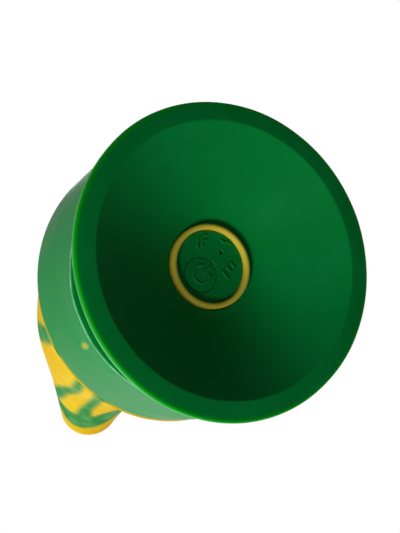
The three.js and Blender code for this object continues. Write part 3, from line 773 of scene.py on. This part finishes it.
# ---------- controls ----------
def ring_bezel():
    """The half-round ring, with a flange behind the cup."""
    nose = BEZEL_NOSE
    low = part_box("ring_bezel")[0].z / MM
    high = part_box("ring_bezel")[1].z / MM
    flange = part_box("ring_bezel")[1].x / MM
    inner = BEZEL_R - 2 * nose
    outline = [
        (9.4, DISC_BACK + GAP), (inner, DISC_BACK + GAP),
        *arc(BEZEL_R - nose, low + nose, nose, -180, 0, 18),
        (BEZEL_R, high - 1.2), (flange, high - 1.2), (flange, high), (9.4, high),
    ]
    finish = FINISHES["yellow_silicone"]
    piece("bezel", spun(outline, 128), finish, "housing", "yellow_silicone", "ring_bezel")


def control_disc():
    """The disc, drilled for the button and for the charging pin."""
    edge = BEZEL_R - 2 * BEZEL_NOSE - 0.12
    outline = softened([
        (0, DISC_FACE, 0), (edge, DISC_FACE, 0.45), (edge, DISC_BACK, 0.2), (0, DISC_BACK, 0),
    ])
    finish = green_silicone("disc_silicone")
    disc = piece("disc", spun(outline, 128), finish, "housing", "green_silicone", "control_disc")
    holes = [(BUTTON_AT, BUTTON_R + 0.12, 0.22), (PORT_AT, 0.5, 0.25)]
    for spot, radius, flare in holes:
        wide = radius + flare
        tool_outline = [
            (0, DISC_FACE - 1), (wide, DISC_FACE - 1), (wide, DISC_FACE - 0.01),
            (radius, DISC_FACE + flare), (radius, DISC_BACK + 1), (0, DISC_BACK + 1),
        ]
        bm = spun(tool_outline, 64, spot)
        mesh = bpy.data.meshes.new("hole")
        bm.to_mesh(mesh)
        bm.free()
        tool = bpy.data.objects.new("hole", mesh)
        cut = disc.modifiers.new("hole", "BOOLEAN")
        cut.operation, cut.object, cut.solver = "DIFFERENCE", tool, "EXACT"
        apply_modifiers(disc)
        bpy.data.objects.remove(tool)
    for face in disc.data.polygons:
        face.use_smooth = face.use_smooth and abs(face.normal.z) < 0.999


def apply_modifiers(made):
    """Swaps an object's mesh for the one that its modifiers give."""
    depsgraph = bpy.context.evaluated_depsgraph_get()
    finished = bpy.data.meshes.new_from_object(made.evaluated_get(depsgraph))
    made.modifiers.clear()
    made.data = finished


def power_button():
    """The button, very slightly domed."""
    radius = BUTTON_R
    low, high = BUTTON_LOW.z, BUTTON_HIGH.z
    dome = [(radius * 0.93 * i / 10, low + 0.22 * (i / 10) ** 2, 0) for i in range(11)]
    outline = softened([*dome, (radius, low + 0.3, 0.3), (radius, high, 0.15), (0, high, 0)])
    bm = spun(outline, 96, BUTTON_AT)
    piece("button", bm, FINISHES["green_silicone"], "button", "green_silicone", "power_button")


def stroke(bm, path, width, crest, base):
    """A raised rounded line along a path in millimetres: a flattened circle, half sunk at base."""
    path = [Vector((x, y, base)) * MM for x, y in path]
    ways = [(b - a).normalized() for a, b in zip(path, path[1:])]
    ways = [ways[0], *[(a + b).normalized() for a, b in zip(ways, ways[1:])], ways[-1]]
    squash = Matrix.Diagonal((width / 2, abs(base - crest), 1, 1)) * MM
    squash[3][3] = 1
    ring = bmesh.ops.create_circle(bm, cap_ends=False, segments=12, radius=1.0)["verts"]
    shape = [v.co.copy() for v in ring]
    edges = list({e for v in ring for e in v.link_edges})
    steps = [(path[0] - ways[0] * width * 0.25 * MM, ways[0], 0.6)]
    steps += [(spot, way, 1.0) for spot, way in zip(path, ways)]
    steps += [(path[-1] + ways[-1] * width * 0.25 * MM, ways[-1], 0.6)]
    caps = []
    for i, (spot, way, size) in enumerate(steps):
        if i:
            made = bmesh.ops.extrude_edge_only(bm, edges=edges)["geom"]
            fresh = [g for g in made if isinstance(g, bmesh.types.BMVert)]
            behind = {}
            for vert in fresh:
                others = [e.other_vert(vert) for e in vert.link_edges]
                behind[next(v for v in others if v in ring)] = vert
            ring = [behind[old] for old in ring]
            edges = [
                g for g in made
                if isinstance(g, bmesh.types.BMEdge) and all(v in fresh for v in g.verts)
            ]
        across = Vector((-way.y, way.x, 0))
        frame_here = Matrix((across, Vector((0, 0, -1)), way)).transposed().to_4x4()
        place = Matrix.Translation(spot) @ frame_here @ squash
        for vert, corner in zip(ring, shape):
            vert.co = place @ (corner * size)
        if i in (0, len(steps) - 1):
            caps.append(list(edges))
    for rim in caps:
        bmesh.ops.contextual_create(bm, geom=rim)


def ring_points(centre, radius, start, end, steps):
    """Points on part of a circle, angles in degrees."""
    turns = [math.radians(start + (end - start) * i / steps) for i in range(steps + 1)]
    return [(centre[0] + radius * math.cos(a), centre[1] + radius * math.sin(a)) for a in turns]


POWER_WAY = -126.0  # which way the power symbol's bar points, in degrees
RELIEF = 0.5  # how far the marks stand out


def power_mark():
    """The usual power symbol, raised on the button: an open ring and a bar through the opening."""
    bm = bmesh.new()
    base = BUTTON_LOW.z + 0.2
    open_ring = ring_points(BUTTON_AT, 2.7, POWER_WAY + 42, POWER_WAY + 318, 40)
    stroke(bm, open_ring, 1.1, base - RELIEF, base)
    way = math.radians(POWER_WAY)
    ahead = Vector((math.cos(way), math.sin(way)))
    bar = [tuple(BUTTON_AT.xy + ahead * r) for r in (0.6, 1.6, 2.6, 3.5)]
    stroke(bm, bar, 0.9, base - RELIEF, base)
    clean(bm)
    piece("power_mark", bm, FINISHES["green_silicone"], "button", "green_silicone")


def disc_marks():
    """Plain raised marks: two nested waves, a bolt, a bar and an empty cell sign."""
    bm = bmesh.new()
    base = DISC_FACE + 0.05
    for centre, radius in (((-6.4, 0.6), 1.5), ((-6.4, 0.6), 2.9)):
        stroke(bm, ring_points(centre, radius, 70, 190, 12), 0.8, base - RELIEF, base)
    bolt = [(-7.6, -4.3), (-6.7, -5.6), (-7.3, -6.0), (-6.3, -7.3)]
    stroke(bm, bolt, 0.7, base - RELIEF, base)
    stroke(bm, [(1.6, -3.6), (2.4, -4.2), (3.2, -4.8), (4.0, -5.4)], 0.7, base - RELIEF, base)
    cell = [(0.3, -5.2), (1.9, -6.5), (0.9, -7.9), (-0.8, -6.6), (0.3, -5.2)]
    stroke(bm, cell, 0.5, base - RELIEF, base)
    clean(bm)
    piece("disc_marks", bm, FINISHES["green_silicone"], "housing", "green_silicone")


# ---------- studio ----------
FLOOR_R = 40.0  # metres, so that its edge is never seen
FLOOR_GLOW = 0.2
FILL_BELOW, FILL_ABOVE = 0.1, 0.95
FILL_BACK, FILL_FRONT = 0.55, 1.1
HORIZON = 0.93  # how bright the backdrop is where it meets the floor
SUBJECT = (0.01, 0, 0.07)
KEY_WAY = Vector((0.627, 0.679, -0.379))


def studio_floor():
    """A pale floor under the cup that is only there for a camera above it and blocks no light."""
    bm = bmesh.new()
    bmesh.ops.create_circle(bm, cap_ends=True, segments=64, radius=FLOOR_R)
    mesh = bpy.data.meshes.new("floor")
    bm.to_mesh(mesh)
    bm.free()
    floor = bpy.data.objects.new("floor", mesh)
    bpy.context.scene.collection.objects.link(floor)
    material, t, shader = surface("floor_paint")
    t.put(shader, Base_Color=tone(249, 249, 248), Roughness=0.9)
    t.put(shader, Emission_Color=(1, 1, 1, 1), Emission_Strength=FLOOR_GLOW)
    clear = t.node("ShaderNodeBsdfTransparent")
    either = t.node("ShaderNodeMixShader")
    behind = t.node("ShaderNodeNewGeometry").outputs["Backfacing"]
    t.put(either, i0=behind, i1=shader.outputs[0], i2=clear.outputs[0])
    t.join(either.outputs[0], material.node_tree.nodes["Material Output"].inputs["Surface"])
    mesh.materials.append(material)
    floor.visible_diffuse = floor.visible_glossy = False
    floor.visible_transmission = floor.visible_shadow = False


def studio_world():
    """White behind everything. As light, it is bright above the floor and on the leaning side."""
    world = bpy.data.worlds.new("studio")
    world.use_nodes = True
    t = Tree(world.node_tree)
    height = t.node("ShaderNodeSeparateXYZ")
    t.join(t.node("ShaderNodeTexCoord").outputs["Generated"], height.inputs[0])
    side = t.span(height.outputs[0], -0.1, 0.4, FILL_BACK, FILL_FRONT)
    level = t.span(height.outputs[2], -0.25, 0.2, FILL_BELOW, FILL_ABOVE)
    glow = t.math("MULTIPLY", level, side)
    fill = world.node_tree.nodes["Background"]
    t.put(fill, Color=(1, 1, 1, 1), Strength=glow)
    seen = t.node("ShaderNodeBackground")
    backdrop = t.span(height.outputs[2], 0.0, 0.35, HORIZON, 1.0)
    t.put(seen, Color=(1, 1, 1, 1), Strength=backdrop)
    either = t.node("ShaderNodeMixShader")
    camera_ray = t.node("ShaderNodeLightPath").outputs["Is Camera Ray"]
    t.put(either, i0=camera_ray, i1=fill.outputs[0], i2=seen.outputs[0])
    t.join(either.outputs[0], world.node_tree.nodes["World Output"].inputs["Surface"])
    bpy.context.scene.world = world
    bpy.context.scene.view_settings.view_transform = "Standard"


def softbox(name, location, size, power):
    data = bpy.data.lights.new(name, "AREA")
    data.shape, data.size, data.energy = "DISK", size, power
    light = bpy.data.objects.new(name, data)
    light.matrix_world = aimed(location, SUBJECT, (0, 1, 0))
    light.visible_camera = False
    bpy.context.scene.collection.objects.link(light)


def studio_lights():
    """A key light low on the side that the body leans to, and one overhead for shape."""
    softbox("key", KEY_WAY * 0.7, 0.24, 2.6)
    softbox("overhead", Vector((-0.35, -0.3, 0.8)), 0.4, 2.5)


make_camera()
finish_frame_nodes()
suction_cup()
base_drum()
body()
ring_bezel()
control_disc()
power_button()
power_mark()
disc_marks()
studio_floor()
studio_world()
studio_lights()
